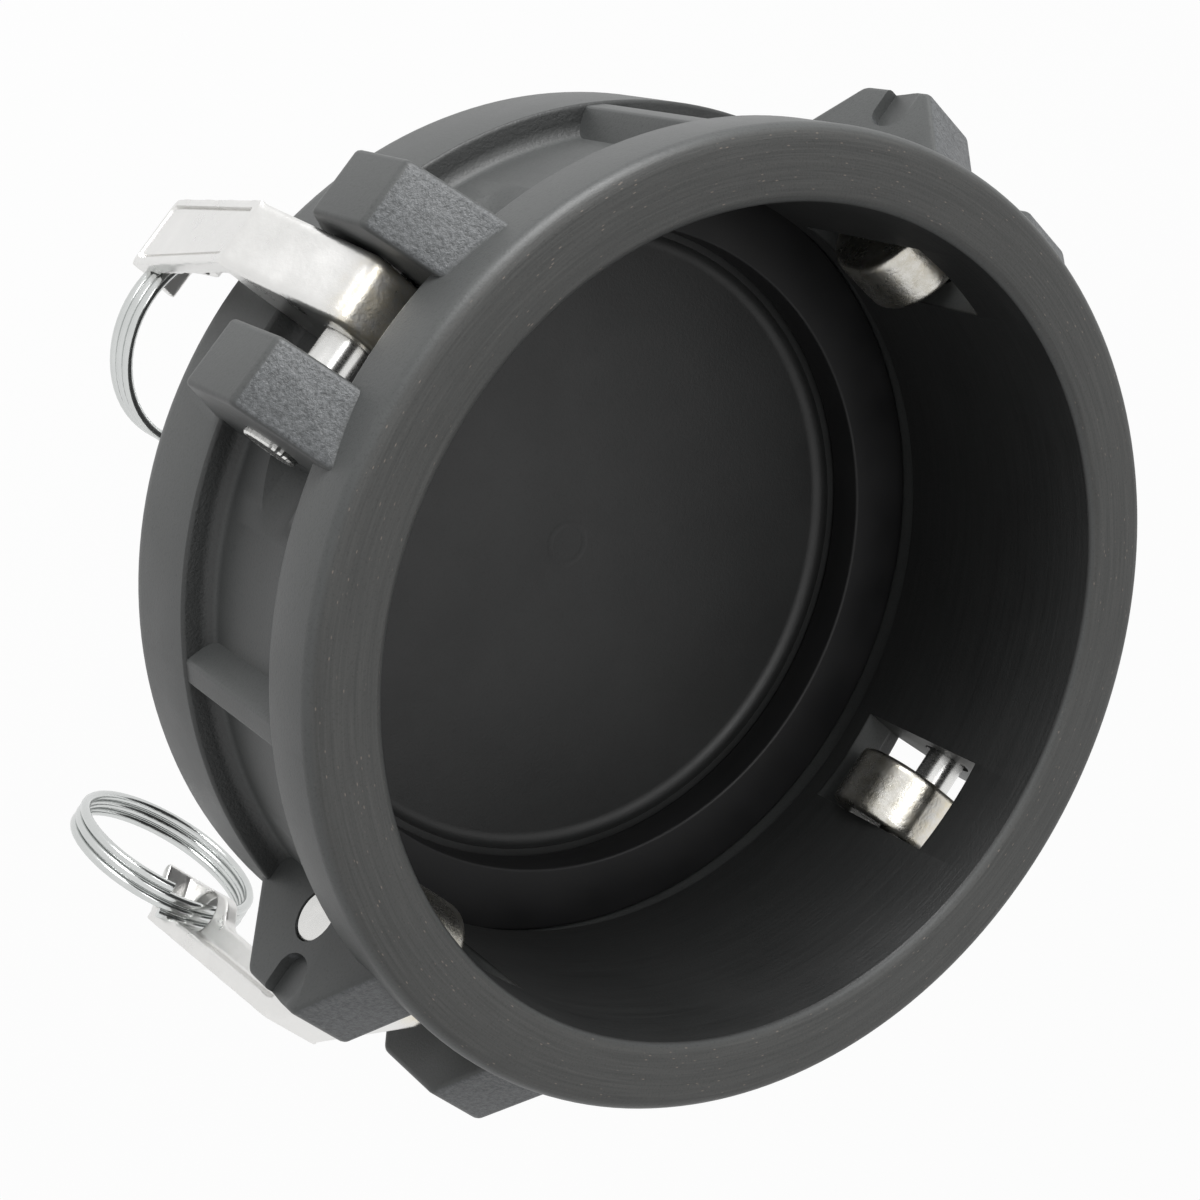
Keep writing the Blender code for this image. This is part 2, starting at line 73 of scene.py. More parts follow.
EAR_SLOPE = 45.0
EAR_CORNER_ROUND = 2.4
EAR_EDGE = 0.8
NOTCH_WIDTH = 7.8
NOTCH_REACH = 6.8
NOTCH_DEPTH = 1.8
NOTCH_BEHIND_TOP_FRONT = 5.2
NOTCH_FRONT_SET_BACK = 0.4
NOTCH_INNER_ROUND = 2.8
NOTCH_INNER_FULLNESS = 0.98
NOTCH_FADE = 0.8
WINDOW_LEDGE = 0.3
DRILL_CLEARANCE_DIAMETER = 15.4

# Gasket
GASKET_OUTER_R = 61.9
GASKET_INNER_R = 51.6
GASKET_THICKNESS = 6.35
GASKET_EDGE_ROUND = 0.45
SEAT_GAP = 0.3

# Pins
PIN_DIAMETER = 6.35
PIN_END_DIAMETER = 7.9
PIN_END_GROWTH = 0.05
PIN_HEAD_LENGTH = 9.0
PIN_HEAD_PROUD = 0.8
PIN_HEAD_EDGE = 0.3
PIN_HEAD_LIP_OUTER = 0.25
PIN_HEAD_LIP_INNER = 0.8
PIN_HEAD_DISH = 0.15
PIN_TAIL_LENGTH = 3.0
PIN_TAIL_BACK = 0.05
PIN_TAIL_EDGE = 0.45
PIN_TAIL_EASE = (0.12, 0.25)
PIN_TAIL_EASE_PAST = 0.1
KNURL_BAND = 0.4
HEAD_GAP = 0.15

# Arms, seen from the side as (outward, forward) from the pin
PIVOT_GAP = 0.3
ARM_SIDE_GAP = 0.35
HEAD_WIDTH = 10.4
HEAD_EDGE = 1.1
CAM_REACH = 11.3
LOBE_SWEEP = (105.0, 250.0)
HEAD_FRONT = 6.7
HEAD_OVERLAP = 2.0
HEAD_UNDER_DEPTH = 0.4
HEEL_OUT = 5.6
HEEL_ROUND = 2.6
KNEE = (16.3, -13.7)
KNEE_ROUND = 1.2
TIP = (14.4, -56.7)
TIP_WIDTH = 12.4
TIP_CORNER_ROUND = 1.6
PLATE_THICKNESS = 2.6
WEB_THICKNESS = 2.4
WEB_DEPTH = 6.2
WEB_OVERLAP = 1.0
WEB_KNEE_RISE = 0.6
WEB_FOOT_ROUND = 3.0
END_WALL_THICKNESS = 2.3
END_WALL_DEPTH = 9.0
END_WALL_SPLAY = 4.6
END_WALL_SET_IN = 0.3
END_WALL_TAPER = 0.4
END_WALL_INNER_ROUND = 0.7
END_WALL_OUTER_ROUND = 1.1
RING_HOLE_FROM_TIP = 5.9
RING_HOLE_DEPTH = 5.5
LUG_WALL = 0.9
LUG_RUN_OUT = 3.6
LUG_ROUND = 3.6
PANEL_BORDER = 1.5
PANEL_DEPTH = 0.6
PANEL_DRAFT = 0.5
PANEL_GROOVE = 0.4
PANEL_FIELD_SHARE = 0.4
PANEL_KNEE_ROUND = 0.6
PANEL_TIP_ROUND = 0.9

# Rings
RING_MEAN_R = 15.575
RING_WIRE = 1.54
RING_TURNS = 3.0
RING_PITCH = 1.61
RING_HOLE_R = 3.515
RING_END_ANGLE = 29.0

# Places, from the cup's axis and from the gasket's sealing face
PIN_R = 67.0
PIN_Z = 21.2
WINDOW_BACK = 7.7
WINDOW_FRONT = 34.3
RIM_BACK = 35.0
RIM_FACE = 47.1
EAR_TOP_FRONT = 29.7
EAR_TOP_BACK = 14.9
GROOVE_R = GASKET_OUTER_R + SEAT_GAP
SEAT_Z = -GASKET_THICKNESS - SEAT_GAP
FLOOR_Z = SEAT_Z - FLOOR_RECESS_DEPTH
END_Z = FLOOR_Z - END_THICKNESS

# How each arm and its ring lie at rest, in degrees, with the arm's shift along its pin in millimetres
ARM_LAYOUT = {
    "a": dict(turn=0.0, fold=-6.0, shift=0.0, cock=0.0, swing=6.0, lean=0.0, twist=0.0),
    "b": dict(turn=90.0, fold=-6.6, shift=-2.6, cock=2.0, swing=66.0, lean=34.0, twist=-1.0),
    "c": dict(turn=180.0, fold=5.3, shift=-2.8, cock=0.0, swing=14.0, lean=-14.0, twist=10.0),
    "d": dict(turn=270.0, fold=0.0, shift=-2.5, cock=0.0, swing=0.0, lean=0.0, twist=0.0),
}
NOTCHED_ARMS = ("a", "c")

# How far joined forms sink into each other and cutters stand clear of what they cut, in millimetres
EAR_SINK = 1.0
RIB_SINK = 0.6
RIB_END_SINK = 1.2
CUT_INWARD = 8.0
CUT_OUTWARD = 6.0
CUT_PROUD = 2.0
CUT_SKIM = 0.02
PANEL_CUT_PROUD = 1.0
PANEL_FIELD_SINK = 0.6

# Fineness of the meshes
ROUND_STEPS = 192
PIN_STEPS = 48
HOLE_STEPS = 32
RING_STEPS = 64
LOBE_STEPS = 30
NOTCH_STEPS = 12
KNURL_TOOTH = (1.0, 0.965, 0.93, 0.965)
KNURL_TEETH = 24
ARM_VOXEL = 0.26
ARM_RELAX_TIMES = 5
FLAT_FACE_AREA = 0.4


# Mesh helpers

def link(name, data):
    obj = bpy.data.objects.new(name, data)
    bpy.context.scene.collection.objects.link(obj)
    return obj


def mesh_from(bm, name):
    bmesh.ops.recalc_face_normals(bm, faces=bm.faces)
    mesh = bpy.data.meshes.new(name)
    bm.to_mesh(mesh)
    bm.free()
    return mesh


def smooth_mesh(mesh, angle=35.0):
    mesh.shade_smooth()
    mesh.set_sharp_from_angle(angle=radians(angle))


def arc(centre, radius, start, end, steps):
    cx, cz = centre
    turns = [radians(start + (end - start) * i / steps) for i in range(steps + 1)]
    return [(cx + radius * cos(t), cz + radius * sin(t)) for t in turns]


def rounded(points, radii, steps=6):
    """The closed outline with the corners named in radii (index: radius) turned into arcs."""
    out = []
    count = len(points)
    for i, (x, z) in enumerate(points):
        radius = radii.get(i, 0.0)
        if not radius:
            out.append((x, z))
            continue
        here = Vector((x, z))
        before = (Vector(points[i - 1]) - here).normalized()
        after = (Vector(points[(i + 1) % count]) - here).normalized()
        half = acos(max(-1.0, min(1.0, before.dot(after)))) / 2
        centre = here + (before + after).normalized() * (radius / sin(half))
        first = here + before * (radius / tan(half))
        last = here + after * (radius / tan(half))
        a0 = atan2(first.y - centre.y, first.x - centre.x)
        a1 = atan2(last.y - centre.y, last.x - centre.x)
        sweep = (a1 - a0 + pi) % (2 * pi) - pi
        for k in range(steps + 1):
            a = a0 + sweep * k / steps
            out.append((centre.x + radius * cos(a), centre.y + radius * sin(a)))
    return out


def turned(name, profile, steps, closed=False):
    """A profile of (radius, z) points spun round the Z axis."""
    bm = bmesh.new()
    verts = [bm.verts.new((r * MM, 0.0, z * MM)) for r, z in profile]
    pairs = list(zip(verts, verts[1:])) + ([(verts[-1], verts[0])] if closed else [])
    edges = [bm.edges.new(pair) for pair in pairs]
    bmesh.ops.spin(bm, geom=verts + edges, cent=(0, 0, 0), axis=(0, 0, 1), angle=2 * pi, steps=steps)
    bmesh.ops.remove_doubles(bm, verts=bm.verts, dist=1e-6)
    return mesh_from(bm, name)


def prism(bm, outline, low, high, matrix=None, edge=0.0):
    """An outline of (x, z) points extruded along Y, its edges rounded by edge."""
    part = bmesh.new()
    face = part.faces.new([part.verts.new((x * MM, low * MM, z * MM)) for x, z in outline])
    made = bmesh.ops.extrude_face_region(part, geom=[face])["geom"]
    top = [v for v in made if isinstance(v, bmesh.types.BMVert)]
    bmesh.ops.translate(part, verts=top, vec=(0.0, (high - low) * MM, 0.0))
    bmesh.ops.recalc_face_normals(part, faces=part.faces)
    if edge:
        sharp = [e for e in part.edges if e.calc_face_angle(0.0) > radians(40.0)]
        bmesh.ops.bevel(part, geom=sharp, offset=edge * MM, segments=3, profile=0.5, affect="EDGES",
                        clamp_overlap=True)
    if matrix is not None:
        bmesh.ops.transform(part, matrix=matrix, verts=part.verts)
    mesh = bpy.data.meshes.new("prism")
    part.to_mesh(mesh)
    part.free()
    bm.from_mesh(mesh)
    bpy.data.meshes.remove(mesh)


def rod(bm, centre, radius, half_length, steps):
    """A round bar along Y, centre being its (x, z)."""
    prism(bm, arc(centre, radius, 0.0, 360.0, steps)[:-1], -half_length, half_length)


def quarter_turns(keys=tuple(ARM_LAYOUT)):
    return [Matrix.Rotation(radians(ARM_LAYOUT[key]["turn"]), 4, "Z") for key in keys]


def evaluated(obj):
    graph = bpy.context.evaluated_depsgraph_get()
    return bpy.data.meshes.new_from_object(obj.evaluated_get(graph))


def apply_boolean(obj, mesh, operation):
    helper = link("helper", mesh)
    step = obj.modifiers.new("step", "BOOLEAN")
    step.operation = operation
    step.solver = "EXACT"
    step.object = helper
    result = evaluated(obj)
    obj.modifiers.clear()
    obj.data = result
    bpy.data.objects.remove(helper, do_unlink=True)


# Cup

def cup_profile():
    """Half section, from the middle of the closed end round the rim to the middle of the floor."""
    edge, back, lip_round = LAND_EDGE_ROUND, RIM_BACK_ROUND, GROOVE_LIP_ROUND
    land = arc((LAND_R - END_ROUND, END_Z + END_ROUND), END_ROUND, -90.0, 0.0, 10)
    land_edge = arc((LAND_R - edge, BACK_SHOULDER_HEIGHT - edge), edge, 0.0, 90.0, 4)
    shoulder = arc((WALL_R + SHOULDER_FILLET, BACK_SHOULDER_HEIGHT + SHOULDER_FILLET),
                   SHOULDER_FILLET, 270.0, 180.0, 8)
    under_rim = arc((WALL_R + CHANNEL_FILLET, RIM_BACK - CHANNEL_FILLET),
                    CHANNEL_FILLET, 180.0, 90.0, 5)
    rim_back = arc((RIM_R - back, RIM_BACK + back), back, -90.0, 0.0, 3)
    rim = arc((RIM_R - RIM_ROUND, RIM_FACE - RIM_ROUND), RIM_ROUND, 0.0, 90.0, 8)
    mouth = [(BORE_R + MOUTH_CHAMFER + MOUTH_EASE, RIM_FACE),
             (BORE_R + MOUTH_CHAMFER - MOUTH_EASE_PAST, RIM_FACE - MOUTH_EASE_DIP),
             (BORE_R + MOUTH_EASE_DIP, RIM_FACE - MOUTH_CHAMFER + MOUTH_EASE_PAST),
             (BORE_R, RIM_FACE - MOUTH_CHAMFER - MOUTH_EASE)]
    lip = arc((BORE_R + lip_round, GROOVE_LIP_HEIGHT + lip_round), lip_round, 180.0, 270.0, 3)
    recess_r = GASKET_INNER_R - FLOOR_LEDGE
    seat = [(GROOVE_R, GROOVE_LIP_HEIGHT), (GROOVE_R, SEAT_Z), (recess_r + FLOOR_LEDGE_FLAT, SEAT_Z)]
    recess = arc((recess_r - FLOOR_RECESS_DEPTH, SEAT_Z), FLOOR_RECESS_DEPTH, 0.0, -90.0, 10)
    return ([(0.0, END_Z)] + land + land_edge + shoulder + under_rim + rim_back + rim + mouth + lip
            + seat + recess + [(0.0, FLOOR_Z)])


def ear_outline():
    root = (sqrt(WALL_R ** 2 - EAR_OUTER ** 2) + sqrt(GROOVE_R ** 2 - EAR_INNER ** 2)) / 2
    foot = min(sqrt(RIM_R ** 2 - EAR_OUTER ** 2), sqrt(LAND_R ** 2 - EAR_OUTER ** 2)) - EAR_SINK
    run = (EAR_TOP - foot) / tan(radians(EAR_SLOPE))
    points = [(root, EAR_TOP_BACK - run), (foot, EAR_TOP_BACK - run), (EAR_TOP, EAR_TOP_BACK),
              (EAR_TOP, EAR_TOP_FRONT), (foot, EAR_TOP_FRONT + run), (root, EAR_TOP_FRONT + run)]
    return rounded(points, {2: EAR_CORNER_ROUND, 3: EAR_CORNER_ROUND})


def ears():
    bm = bmesh.new()
    for turn in quarter_turns():
        for low, high in ((EAR_INNER, EAR_OUTER), (-EAR_OUTER, -EAR_INNER)):
            prism(bm, ear_outline(), low, high, turn, EAR_EDGE)
    return mesh_from(bm, "ears")


def ribs():
    """Four upright ribs between the ears. The outline is drawn as (radius, tangent) and raised along Z."""
    bm = bmesh.new()
    crest = min(RIM_R, LAND_R) - RIB_SET_BACK
    root = sqrt(WALL_R ** 2 - (RIB_ROOT_WIDTH / 2) ** 2) - RIB_SINK
    outline = rounded([(root, -RIB_ROOT_WIDTH / 2), (root, RIB_ROOT_WIDTH / 2),
                       (crest, RIB_CREST_WIDTH / 2), (crest, -RIB_CREST_WIDTH / 2)],
                      {2: RIB_CREST_ROUND, 3: RIB_CREST_ROUND}, 4)
    low, high = BACK_SHOULDER_HEIGHT - RIB_END_SINK, RIM_BACK + RIB_END_SINK
    upright = Matrix.Rotation(-pi / 2, 4, "X")
    for turn in quarter_turns():
        prism(bm, outline, -high, -low, turn @ Matrix.Rotation(pi / 4, 4, "Z") @ upright)
    return mesh_from(bm, "ribs")


def windows():
    bm = bmesh.new()
    half = EAR_INNER - WINDOW_LEDGE
    inner, outer = BORE_R - CUT_INWARD, WALL_R + CUT_OUTWARD
    outline = [(inner, WINDOW_BACK), (outer, WINDOW_BACK), (outer, WINDOW_FRONT), (inner, WINDOW_FRONT)]
    for turn in quarter_turns():
        prism(bm, outline, -half, half, turn)
    return mesh_from(bm, "windows")


def pin_bores():
    """The pins' bores, with the wider pocket outside each ear from which it is bored."""
    bm = bmesh.new()
    bore_r = PIN_END_DIAMETER / 2 + HEAD_GAP
    drill_r = DRILL_CLEARANCE_DIAMETER / 2
    face = EAR_OUTER + CUT_SKIM
    far_end = sqrt(WALL_R ** 2 - (PIN_R - drill_r) ** 2) + CUT_OUTWARD
    steps = [(0.0, -far_end), (drill_r, -far_end), (drill_r, -face), (bore_r, -face),
             (bore_r, face), (drill_r, face), (drill_r, far_end), (0.0, far_end)]
    place = Matrix.Translation((PIN_R * MM, 0.0, PIN_Z * MM))
    for turn in quarter_turns():
        mesh = turned("bore", steps, PIN_STEPS)
        mesh.transform(turn @ place @ Matrix.Rotation(pi / 2, 4, "X"))
        bm.from_mesh(mesh)
    return mesh_from(bm, "pin_bores")


def notches():
    """Scoops in the ears' outer sides, deepest at the back, running out towards the mouth."""
    bm = bmesh.new()
    back = EAR_TOP_FRONT - NOTCH_BEHIND_TOP_FRONT - NOTCH_WIDTH / 2
    reach = NOTCH_WIDTH - NOTCH_FRONT_SET_BACK
    inner, outer = EAR_TOP - NOTCH_REACH, EAR_TOP + CUT_PROUD
    high = EAR_OUTER + CUT_PROUD
    for turn in quarter_turns(NOTCHED_ARMS):
        for side in (1.0, -1.0):
            rows = []
            for k in range(NOTCH_STEPS + 1):
                t = k / NOTCH_STEPS
                z = back + reach * t
                low = EAR_OUTER - (NOTCH_DEPTH * (1.0 - t) ** NOTCH_FADE - CUT_SKIM)
                bow = sqrt(1.0 - NOTCH_INNER_FULLNESS * (2.0 * t - 1.0) ** 2)
                start = inner + NOTCH_INNER_ROUND * (1.0 - bow)
                corners = ((start, low), (outer, low), (outer, high), (start, high))
                rows.append([bm.verts.new(turn @ Vector((x * MM, side * y * MM, z * MM)))
                             for x, y in corners])
            for here, there in zip(rows, rows[1:]):
                for i in range(4):
                    j = (i + 1) % 4
                    bm.faces.new((here[i], here[j], there[j], there[i]))
            bm.faces.new(rows[0])
            bm.faces.new(rows[-1])
    return mesh_from(bm, "notches")


def make_cup():
    cup = link("cup_shell", turned("cup_shell", cup_profile(), ROUND_STEPS))
    apply_boolean(cup, ears(), "UNION")
    apply_boolean(cup, ribs(), "UNION")
    apply_boolean(cup, windows(), "DIFFERENCE")
    apply_boolean(cup, pin_bores(), "DIFFERENCE")
    apply_boolean(cup, notches(), "DIFFERENCE")
    smooth_mesh(cup.data)
    return cup


def make_gasket():
    edge = GASKET_EDGE_ROUND
    outer, inner = GASKET_OUTER_R - edge, GASKET_INNER_R + edge
    back = edge - GASKET_THICKNESS
    profile = (arc((outer, back), edge, -90.0, 0.0, 3) + arc((outer, -edge), edge, 0.0, 90.0, 3)
               + arc((inner, -edge), edge, 90.0, 180.0, 3) + arc((inner, back), edge, 180.0, 270.0, 3))
    mesh = turned("gasket_ring", profile, ROUND_STEPS, closed=True)
    smooth_mesh(mesh)
    return link("gasket_ring", mesh)


# Pins, arms and rings

def pin_mesh():
    """Pivot pin along Y: knurled head end with a dished face at +Y, plain end at -Y."""
    shank, end = PIN_DIAMETER / 2, PIN_END_DIAMETER / 2 + PIN_END_GROWTH
    tail, head = PIN_TAIL_BACK - EAR_OUTER, EAR_OUTER + PIN_HEAD_PROUD
    ease_in, ease_up = PIN_TAIL_EASE
    plain_end = [(0.0, tail), (end - PIN_TAIL_EDGE, tail), (end - ease_in, tail + ease_up),
                 (end, tail + PIN_TAIL_EDGE + PIN_TAIL_EASE_PAST), (end, tail + PIN_TAIL_LENGTH)]
    middle = [(shank, tail + PIN_TAIL_LENGTH), (shank, head - PIN_HEAD_LENGTH)]
    knurled_end = [(end, head - PIN_HEAD_LENGTH), (end, head - PIN_HEAD_EDGE),
                   (end - PIN_HEAD_LIP_OUTER, head), (end - PIN_HEAD_LIP_INNER, head - PIN_HEAD_DISH),
                   (0.0, head - PIN_HEAD_DISH)]
    facets = KNURL_TEETH * len(KNURL_TOOTH)
    bm = bmesh.new()
    bm.from_mesh(turned("pin", plain_end + middle + knurled_end, facets))
    for v in bm.verts:
        r = sqrt(v.co.x ** 2 + v.co.y ** 2)
        if v.co.z >= (head - PIN_HEAD_LENGTH) * MM and r > (end - KNURL_BAND) * MM:
            step = round(atan2(v.co.y, v.co.x) / (2 * pi) * facets)
            share = KNURL_TOOTH[step % len(KNURL_TOOTH)]
            v.co.x *= share
            v.co.y *= share
    mesh = mesh_from(bm, "pin")
    mesh.transform(Matrix.Rotation(-pi / 2, 4, "X"))
    smooth_mesh(mesh, angle=30.0)
    return mesh


def handle_frame():
    """The knee, the tip, the direction along the handle and the direction in towards the cup."""
    knee, tip = Vector(KNEE), Vector(TIP)
    along = (tip - knee).normalized()
    return knee, tip, along, Vector((along.y, -along.x))


def point_on(along_from_knee, depth):
    knee, _, along, inward = handle_frame()
    return tuple(knee + along * along_from_knee + inward * depth)


def handle_length():
    knee, tip, _, _ = handle_frame()
    return (tip - knee).length


def ring_hole():
    return point_on(handle_length() - RING_HOLE_FROM_TIP, RING_HOLE_DEPTH)


def head_outline():
    """The heel, the cam's lobe and the start of the web and handle, closed at the knee."""
    knee, _, along, inward = handle_frame()
    lobe_r = (CAM_REACH + HEAD_FRONT) / 2
    lobe = arc((lobe_r - CAM_REACH, HEAD_FRONT - lobe_r), lobe_r, *LOBE_SWEEP, LOBE_STEPS)
    back = knee + inward * WEB_DEPTH + along * HEAD_OVERLAP
    under = knee + along * HEAD_OVERLAP + inward * HEAD_UNDER_DEPTH
    points = [(HEEL_OUT, HEAD_FRONT)] + lobe + [tuple(back), tuple(under), tuple(knee)]
    return rounded(points, {0: HEEL_ROUND, len(points) - 1: KNEE_ROUND})


def plate_place():
    """Stands a mesh that is drawn down from the origin, facing +X, on the handle's outer face."""
    knee, _, along, _ = handle_frame()
    lean = atan2(along.x, -along.y)
    return Matrix.Translation((knee.x * MM, 0.0, knee.y * MM)) @ Matrix.Rotation(-lean, 4, "Y")


def handle_face(inset, knee_round, tip_round, steps=6):
    """The handle's outer face, set in on every side, as (across, down from the knee) points."""
    half_knee, half_tip = HEAD_WIDTH / 2 - inset, TIP_WIDTH / 2 - inset
    end = handle_length() - inset
    corners = [(-half_knee, inset), (half_knee, inset), (half_tip, end), (-half_tip, end)]
    return rounded(corners, {0: knee_round, 1: knee_round, 2: tip_round, 3: tip_round}, steps)


def plate_mesh():
    bm = bmesh.new()
    outline = handle_face(0.0, 0.0, TIP_CORNER_ROUND)
    top = bm.faces.new([bm.verts.new((0.0, w * MM, -s * MM)) for w, s in outline])
    made = bmesh.ops.extrude_face_region(bm, geom=[top])["geom"]
    inner = [v for v in made if isinstance(v, bmesh.types.BMVert)]
    bmesh.ops.translate(bm, verts=inner, vec=(-PLATE_THICKNESS * MM, 0.0, 0.0))
    bmesh.ops.recalc_face_normals(bm, faces=bm.faces)
    bmesh.ops.transform(bm, matrix=plate_place(), verts=bm.verts)
    return mesh_from(bm, "plate")


def panel(border, low, high, draft):
    """Block over the handle's outer face, set in by border, from depth low to height high."""
    bm = bmesh.new()
    floor, top = [[bm.verts.new((x * MM, w * MM, -s * MM))
                   for w, s in handle_face(border - grow, PANEL_KNEE_ROUND, PANEL_TIP_ROUND, 4)]
                  for x, grow in ((low, 0.0), (high, draft))]
    bm.faces.new(floor)
    bm.faces.new(top[::-1])
    count = len(floor)
    for i in range(count):
        j = (i + 1) % count
        bm.faces.new((floor[j], floor[i], top[i], top[j]))
    bmesh.ops.transform(bm, matrix=plate_place(), verts=bm.verts)
    return mesh_from(bm, "panel")


def web_outline():
    """The web under the handle, with the lug for the ring near the tip."""
    length = handle_length()
    hole_at = length - RING_HOLE_FROM_TIP
    sink, lug = PLATE_THICKNESS * 0.5, RING_HOLE_DEPTH + RING_HOLE_R + LUG_WALL
    foot = hole_at - RING_HOLE_R - LUG_WALL - LUG_RUN_OUT
    points = [point_on(-WEB_OVERLAP, sink), point_on(-WEB_OVERLAP, WEB_DEPTH - WEB_KNEE_RISE),
              point_on(foot, WEB_DEPTH), point_on(foot + LUG_RUN_OUT, lug),
              point_on(length + END_WALL_SPLAY - WEB_OVERLAP, END_WALL_DEPTH - END_WALL_SET_IN),
              point_on(length - WEB_OVERLAP, sink)]
    return rounded(points, {2: WEB_FOOT_ROUND, 3: LUG_ROUND})


def end_wall_outline():
    """The wall across the tip, splayed outwards as it goes in."""
    length, sink = handle_length(), PLATE_THICKNESS * 0.5
    start, reach = length - END_WALL_THICKNESS, length + END_WALL_SPLAY - END_WALL_SET_IN
    points = [point_on(start, sink),
              point_on(reach - END_WALL_THICKNESS + END_WALL_TAPER, END_WALL_DEPTH),
              point_on(reach, END_WALL_DEPTH), point_on(length - END_WALL_SET_IN, sink)]
    return rounded(points, {1: END_WALL_INNER_ROUND, 2: END_WALL_OUTER_ROUND})


def soften(arm):
    """Remesh and relax the joined arm, so that every edge is softly cast."""
    voxels = arm.modifiers.new("voxels", "REMESH")
    voxels.mode = "VOXEL"
    voxels.voxel_size = ARM_VOXEL * MM
    relax = arm.modifiers.new("relax", "SMOOTH")
    relax.factor = 0.5
    relax.iterations = ARM_RELAX_TIMES
    arm.data = evaluated(arm)
    arm.modifiers.clear()
    arm.data.shade_smooth()


def arm_mesh():
    """Cast cam arm about its pin's axis, with a sunk panel and its raised field on the handle."""
    bm = bmesh.new()
    prism(bm, head_outline(), -HEAD_WIDTH / 2, HEAD_WIDTH / 2, edge=HEAD_EDGE)
    arm = link("arm", mesh_from(bm, "arm"))
    apply_boolean(arm, plate_mesh(), "UNION")
    end_wall_width = TIP_WIDTH - 2 * END_WALL_SET_IN
    for outline, width in ((web_outline(), WEB_THICKNESS), (end_wall_outline(), end_wall_width)):
        bm = bmesh.new()
        prism(bm, outline, -width / 2, width / 2)
        apply_boolean(arm, mesh_from(bm, "joined"), "UNION")
    bm = bmesh.new()
    rod(bm, (0.0, 0.0), PIN_DIAMETER / 2 + PIVOT_GAP, HEAD_WIDTH, PIN_STEPS)
    rod(bm, ring_hole(), RING_HOLE_R, HEAD_WIDTH, HOLE_STEPS)
    apply_boolean(arm, mesh_from(bm, "holes"), "DIFFERENCE")
    soften(arm)
    cut = panel(PANEL_BORDER, -PANEL_DEPTH, PANEL_CUT_PROUD, PANEL_DRAFT)
    apply_boolean(arm, cut, "DIFFERENCE")
    field = panel(PANEL_BORDER + PANEL_GROOVE, -PANEL_DEPTH - PANEL_FIELD_SINK,
                  -PANEL_DEPTH * PANEL_FIELD_SHARE, 0.0)
    apply_boolean(arm, field, "UNION")
    mesh = arm.data
    bpy.data.objects.remove(arm, do_unlink=True)
    smooth_mesh(mesh, angle=40.0)
    for face in mesh.polygons:
        face.use_smooth = face.area < FLAT_FACE_AREA * MM * MM
    return mesh


def ring_mesh():
    """Split ring of touching turns, hanging from the local origin, its wire there along Y."""
    steps = int(RING_TURNS * RING_STEPS)
    curve = bpy.data.curves.new("ring_wire", "CURVE")
    curve.dimensions = "3D"
    curve.bevel_depth = RING_WIRE / 2 * MM
    curve.bevel_resolution = 4
    curve.use_fill_caps = True
    spline = curve.splines.new("POLY")
    spline.points.add(steps)
    for i in range(steps + 1):
        a = 2 * pi * RING_TURNS * (i / steps) + pi / 2 + radians(RING_END_ANGLE)
        x = RING_PITCH * RING_TURNS * (i / steps - 0.5)
        y, z = RING_MEAN_R * cos(a), RING_MEAN_R * sin(a) - RING_MEAN_R
        spline.points[i].co = (x * MM, y * MM, z * MM, 1.0)
    wire = link("wire", curve)
    mesh = evaluated(wire)
    bpy.data.objects.remove(wire, do_unlink=True)
    smooth_mesh(mesh, angle=50.0)
    return mesh


def arm_matrix(spec):
    limit = EAR_INNER - HEAD_WIDTH / 2 - ARM_SIDE_GAP
    shift = max(-limit, min(limit, spec["shift"]))
    return (Matrix.Rotation(radians(spec["turn"]), 4, "Z")
            @ Matrix.Translation((PIN_R * MM, shift * MM, PIN_Z * MM))
            @ Matrix.Rotation(-radians(spec["fold"]), 4, "Y")
            @ Matrix.Rotation(radians(spec["cock"]), 4, "X"))


def ring_matrix(spec):
    hole_x, hole_z = ring_hole()
    return (arm_matrix(spec) @ Matrix.Translation((hole_x * MM, 0.0, hole_z * MM))
            @ Matrix.Rotation(radians(spec["swing"]), 4, "Y")
            @ Matrix.Rotation(radians(spec["lean"]), 4, "X")
            @ Matrix.Rotation(radians(spec["twist"]), 4, "Z"))


# Materials

